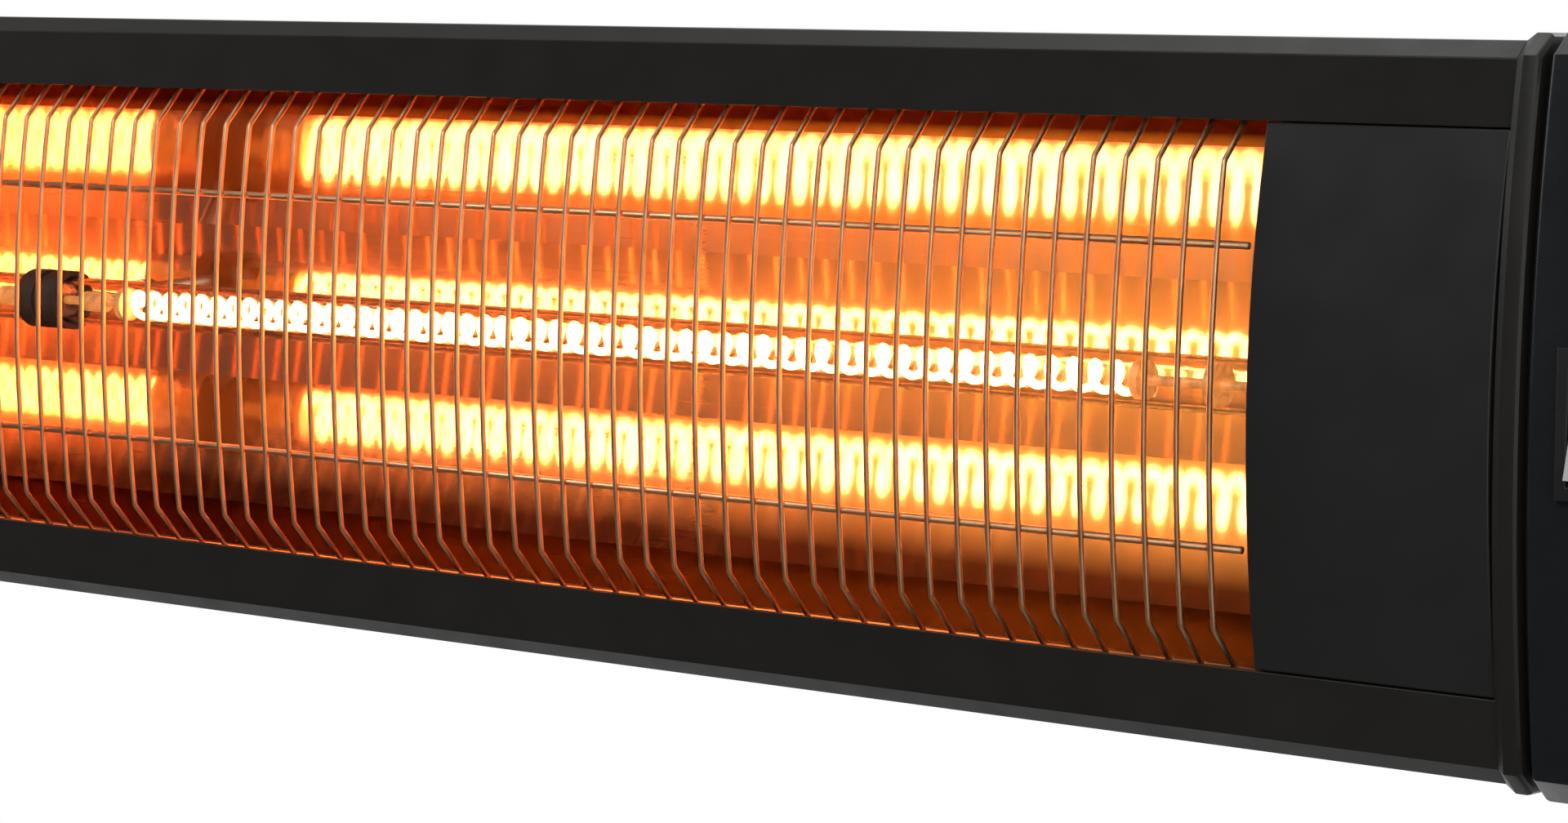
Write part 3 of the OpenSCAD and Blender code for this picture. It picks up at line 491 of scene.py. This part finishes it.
WIRE_COUNT, PITCH = 95, 8 * MM
CAD_WIRE_R, WIRE_R = 0.7 * MM, 0.6 * MM
KINK_DEPTH, KINK_Z = -4.2 * MM, WINDOW_HALF_H - 8.2 * MM
WIRE_BOW, BOW_STEPS = 3.3 * MM, 14
BEND_R, BEND_STEPS = 2.2 * MM, 5
RAIL_DEPTH, RAIL_Z, RAIL_R = 4.8 * MM, WINDOW_HALF_H + 1.7 * MM, 1.5 * MM
CROSS_Z, CROSS_R = 30.5 * MM, 0.8 * MM
RAIL_HALF = WINDOW_HALF_W - 2 * MM
CROSS_HALF = WINDOW_HALF_W - 0.3 * MM


def bow_depth(z):
    """Depth of a guard wire's bowed stretch at height z."""
    radius = (KINK_Z**2 + WIRE_BOW**2) / (2 * WIRE_BOW)
    return KINK_DEPTH - WIRE_BOW + radius - math.sqrt(radius**2 - z**2)


def guard_wire_path():
    """One wire, from the edge rail above the window, over its kinks and its bow, to the rail below."""
    bow = [KINK_Z * (1 - 2 * i / BOW_STEPS) for i in range(BOW_STEPS + 1)]
    corners = [at_depth(RAIL_DEPTH, 0, RAIL_Z)]
    corners += [at_depth(bow_depth(z), 0, z) for z in bow]
    corners.append(at_depth(RAIL_DEPTH, 0, -RAIL_Z))
    top = rounded(corners[:3], BEND_R, BEND_STEPS)[:-1]
    bottom = rounded(corners[-3:], BEND_R, BEND_STEPS)[1:]
    return top + corners[2:-2] + bottom


def make_guard():
    bm = bmesh.new()
    sweep_tube(bm, guard_wire_path(), WIRE_R, 10)
    wire = bm.verts[:] + bm.edges[:] + bm.faces[:]
    first = -(WIRE_COUNT - 1) / 2 * PITCH
    for i in range(1, WIRE_COUNT):
        copy = bmesh.ops.duplicate(bm, geom=wire)["geom"]
        bmesh.ops.translate(bm, vec=(first + i * PITCH, 0, 0), verts=verts_in(copy))
    bmesh.ops.translate(bm, vec=(first, 0, 0), verts=verts_in(wire))
    cross_depth = bow_depth(CROSS_Z) + CAD_WIRE_R + CROSS_R
    for side in (-1, 1):
        for depth, half, z, radius, sides in (
            (cross_depth, CROSS_HALF, CROSS_Z, CROSS_R, 12),
            (RAIL_DEPTH, RAIL_HALF, RAIL_Z, RAIL_R, 16),
        ):
            sweep_tube(bm, [at_depth(depth, x, side * z) for x in (-half, half)], radius, sides)
    finished(bm, "guard", "guard_wire", "heater", "wire_guard")


make_guard()

# ---- Filaments ----

COIL_R, STRAND_R = 2.9 * MM, 0.9 * MM
COIL_START, COIL_LEN = 30.5 * MM, 308.1 * MM
TURNS, STEPS_PER_TURN = 54, 20


def make_filament(side, name):
    """A coil that runs outwards from the middle holder, with a short straight tail at each end."""
    path = []
    for i in range(TURNS * STEPS_PER_TURN + 1):
        angle = 2 * math.pi * i / STEPS_PER_TURN
        x = COIL_START + COIL_LEN * i / (TURNS * STEPS_PER_TURN)
        path.append(at_depth(LAMP_DEPTH + COIL_R * math.cos(angle), side * x, COIL_R * math.sin(angle)))
    tail = Vector((side * STRAND_R, 0, 0))
    path = [path[0] - tail * 2, path[0] - tail] + path[1:-1] + [path[-1] + tail, path[-1] + tail * 2]
    bm = bmesh.new()
    sweep_tube(bm, path, STRAND_R, 8)
    finished(bm, name, "glowing_coil", "heater", name.replace("coil", "filament"))


make_filament(-1, "coil_left")
make_filament(1, "coil_right")

# ---- Quartz tubes ----

TUBE_WALL, TUBE_END_WALL = 1 * MM, 2 * MM
SHOULDER, INNER_SHOULDER = 1.6 * MM, 1 * MM
SHOULDER_STEPS = 6


def add_shell(bm, x0, x1, radius, shoulder, inner):
    """A closed round shell on the lamp's axis, with rounded shoulders. Its faces point out of the glass, so an inner
    one's point into the bore."""
    line = [(x0, 0.0)]
    for i in range(SHOULDER_STEPS + 1):
        turn = math.pi / 2 * i / SHOULDER_STEPS
        line.append((x0 + shoulder * (1 - math.cos(turn)), radius - shoulder * (1 - math.sin(turn))))
    line += [(x0 + x1 - x, across) for x, across in reversed(line)]
    verts = [bm.verts.new(at_depth(LAMP_DEPTH, x, across)) for x, across in line]
    edges = [bm.edges.new(pair) for pair in zip(verts, verts[1:])]
    old = set(bm.faces)
    bmesh.ops.spin(
        bm, geom=verts + edges, cent=at_depth(LAMP_DEPTH, 0, 0), axis=(1, 0, 0),
        angle=2 * math.pi, steps=48, use_merge=True,
    )
    bmesh.ops.remove_doubles(bm, verts=bm.verts, dist=0.001 * MM)
    faces = [face for face in bm.faces if face not in old]
    bmesh.ops.recalc_face_normals(bm, faces=faces)
    if inner:
        bmesh.ops.reverse_faces(bm, faces=faces)
    for face in faces:
        face.smooth = True


def make_tube(name):
    low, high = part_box("quartz_tube_" + name)
    radius = (high.z - low.z) / 2
    bm = bmesh.new()
    add_shell(bm, low.x, high.x, radius, SHOULDER, inner=False)
    bore = (low.x + TUBE_END_WALL, high.x - TUBE_END_WALL, radius - TUBE_WALL)
    add_shell(bm, *bore, INNER_SHOULDER, inner=True)
    finished(bm, "tube_" + name, "quartz", "heater", "quartz_tube_" + name, shade=False)


make_tube("left")
make_tube("right")

# ---- Reflector ----

SHEET = 0.8 * MM
REFLECTOR_D, BACK_HALF_H = 50 * MM, 4 * MM
FACET_TILT, FACET_R = math.radians(29.2), 190 * MM
FACET_LOW = Vector((REFLECTOR_D - 0.9 * MM, 19.5 * MM))
FACET_HIGH_Z, FACET_POINTS = 49 * MM, 24
FLANGE_DEPTH, FLANGE_H = 9 * MM, 9 * MM
FLANGE_START = WINDOW_HALF_H + 0.6 * MM
CREASE = math.radians(3.5)


def reflector_half_line():
    """Upper half of the trough's section as (depth, height): flat back, leaning band, hollow facet, flange."""
    span = (FACET_HIGH_Z - FACET_LOW.y) / math.cos(FACET_TILT)
    half_sweep = math.asin(span / 2 / FACET_R)
    along = Vector((-math.sin(FACET_TILT), math.cos(FACET_TILT)))
    outward = Vector((-math.cos(FACET_TILT), -math.sin(FACET_TILT)))
    line = [Vector((REFLECTOR_D, BACK_HALF_H))]
    for i in range(FACET_POINTS + 1):
        share = i / FACET_POINTS
        dip = FACET_R * (math.cos(half_sweep) - math.cos(half_sweep * (2 * share - 1)))
        line.append(FACET_LOW + span * share * along + dip * outward)
    return line + [Vector((FLANGE_DEPTH, FLANGE_START)), Vector((FLANGE_DEPTH, WINDOW_HALF_H + FLANGE_H))]


def make_reflector():
    half = reflector_half_line()
    section = [Vector((p.x, -p.y)) for p in reversed(half)] + half
    bm = bmesh.new()
    verts = [bm.verts.new(at_depth(p.x, -RAIL_HALF, p.y)) for p in section]
    edges = [bm.edges.new(pair) for pair in zip(verts, verts[1:])]
    drawn = bmesh.ops.extrude_edge_only(bm, edges=edges)["geom"]
    bmesh.ops.translate(bm, vec=(2 * RAIL_HALF, 0, 0), verts=verts_in(drawn))
    bmesh.ops.solidify(bm, geom=bm.faces[:], thickness=SHEET)
    for edge in bm.edges:
        edge.smooth = len(edge.link_faces) == 2 and edge.calc_face_angle() < CREASE
    finished(bm, "trough", "mirror_sheet", "heater", "reflector")


make_reflector()

# ---- Studio ----

FLOOR_Z, FLOOR_R = -4.5, 40
WHITE = (1, 1, 1, 1)
ROOM_STRENGTH = 0.06
LIT_AT = (0.1, -0.1, 0)

# Place, width, height and watts of each lamp
LAMPS = {
    "key": ((0.5, -2.4, 1.5), 1.6, 1.0, 30),
    "left_fill": ((-2.7, -0.5, 0.7), 1.2, 1.2, 12),
    "right_fill": ((2.3, -1.9, 0.3), 1.2, 1.6, 15),
    "glint": ((-1.8, -1.9, 0.1), 0.16, 0.05, 0.03),
    "top": ((0.0, 0.2, 2.0), 2.0, 0.8, 16),
    "rear": ((0.4, 2.2, 0.9), 1.8, 1.2, 26),
}


def make_world():
    """A dim room, with a white backdrop that the camera sees, and mirrored rays where they look past the object."""
    world = bpy.data.worlds.new("studio")
    bpy.context.scene.world = world
    world.use_nodes = True
    world.node_tree.nodes.clear()
    w = NodeTree(world.node_tree)
    way = w.axes(w.add("ShaderNodeTexCoord").outputs["Generated"])
    room, backdrop = w.add("ShaderNodeBackground"), w.add("ShaderNodeBackground")
    room.inputs["Color"].default_value = backdrop.inputs["Color"].default_value = WHITE
    room.inputs["Strength"].default_value = ROOM_STRENGTH
    share = w.backdrop_share(w.ranged(way["Y"], 0, 1, -0.1, 0.5))
    shown = w.mixed(share, room.outputs["Background"], backdrop.outputs["Background"])
    w.link(shown, w.add("ShaderNodeOutputWorld").inputs["Surface"])


def make_floor():
    """A pale floor that takes light and shadow near the object and turns into the white backdrop further out."""
    bm = bmesh.new()
    bmesh.ops.create_circle(bm, cap_ends=True, segments=64, radius=FLOOR_R)
    mesh = bpy.data.meshes.new("floor")
    bm.to_mesh(mesh)
    bm.free()
    floor = bpy.data.objects.new("floor", mesh)
    floor.location.z = FLOOR_Z
    bpy.context.scene.collection.objects.link(floor)
    f = Finish("floor")
    matt = f.add("ShaderNodeBsdfDiffuse")
    patches = f.ranged(f.noise(0.3, 3), 0, 1)
    f.link(f.blend(patches, (0.85, 0.85, 0.85), (0.88, 0.88, 0.88)), matt.inputs["Color"])
    distance = f.add("ShaderNodeVectorMath", operation="LENGTH")
    f.link(f.place, distance.inputs[0])
    fade = f.ranged(distance.outputs["Value"], 0.45, 1, 1.0, 4.0)
    share = f.combined("MULTIPLY", f.backdrop_share(f.ranged(f.axes(f.place)["Y"], 0, 1, 0, 1)), fade)
    f.show(f.mixed(share, matt.outputs["BSDF"], f.add("ShaderNodeEmission").outputs["Emission"]))
    mesh.materials.append(f.material)


def make_lamp(name, place, width, height, watts):
    data = bpy.data.lights.new(name, "AREA")
    data.shape = "RECTANGLE"
    data.size, data.size_y = width, height
    data.energy = watts
    lamp = bpy.data.objects.new(name, data)
    lamp.location = place
    lamp.rotation_euler = (Vector(LIT_AT) - Vector(place)).to_track_quat("-Z", "Y").to_euler()
    bpy.context.scene.collection.objects.link(lamp)


make_world()
make_floor()
for lamp_name, lamp_values in LAMPS.items():
    make_lamp(lamp_name, *lamp_values)
bpy.context.scene.view_settings.view_transform = "Standard"
